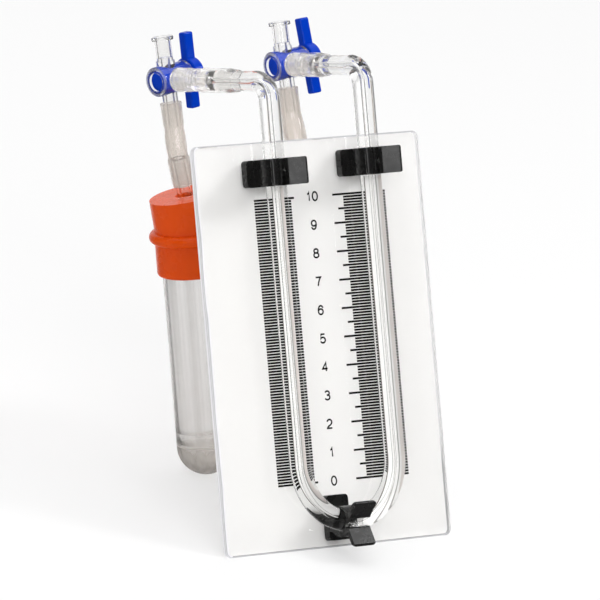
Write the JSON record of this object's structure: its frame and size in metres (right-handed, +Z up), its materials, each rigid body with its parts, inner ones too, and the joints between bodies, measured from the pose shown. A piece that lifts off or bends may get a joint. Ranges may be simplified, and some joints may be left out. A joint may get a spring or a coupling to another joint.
{
  "type": "respirometer",
  "caption": "School respirometer: a glass manometer tube on a leaning scale plate, joined by stopcocks and soft sleeves to stoppered glass tubes behind.",
  "frame": {"origin": "on the table, at the middle of the bottom of the bounding box", "axes": "+Z up from the table, +X to the right as the scale is read, +Y to the back, from the scale towards the stoppered tubes"},
  "size_m": [0.1, 0.131, 0.1597],
  "materials": {
    "glass": "gloss",
    "clear_plastic": "gloss",
    "blue_plastic": "gloss",
    "silicone": "satin",
    "clear_sheet": "gloss",
    "white_card": "matte",
    "black_plastic": "gloss",
    "steel": "satin",
    "orange_rubber": "satin"
  },
  "bodies": {
    "stand": {"arm_sleeve_left": "silicone", "arm_sleeve_right": "silicone", "boiling_tube_left": "glass", "boiling_tube_right": "glass", "clip_bottom": "black_plastic", "clip_left": "black_plastic", "clip_nuts": "steel", "clip_right": "black_plastic", "clip_screws": "steel", "drop_sleeve_left": "silicone", "drop_sleeve_right": "silicone", "glass_stem_left": "glass", "glass_stem_right": "glass", "hose_adapter_left": "clear_plastic", "hose_adapter_right": "clear_plastic", "lock_collar_left": "clear_plastic", "lock_collar_right": "clear_plastic", "manometer_u_tube": "glass", "scale_card": "white_card", "scale_plate": "clear_sheet", "stopcock_body_left": "clear_plastic", "stopcock_body_right": "clear_plastic", "stopper_left": "orange_rubber", "stopper_right": "orange_rubber"},
    "plug_left": {"stopcock_plug_left": "blue_plastic"},
    "plug_right": {"stopcock_plug_right": "blue_plastic"}
  },
  "joints": [
    {"name": "stopcock_turn_left", "type": "hinge", "parent": "stand", "child": "plug_left", "pos_m": [-0.0265, 0.05705, 0.13745], "axis": [0.9875, 0.1247, 0.096], "continuous": true},
    {"name": "stopcock_turn_right", "type": "hinge", "parent": "stand", "child": "plug_right", "pos_m": [0.02159, 0.05271, 0.14184], "axis": [0.9933, 0.0052, 0.1157], "continuous": true}
  ]
}
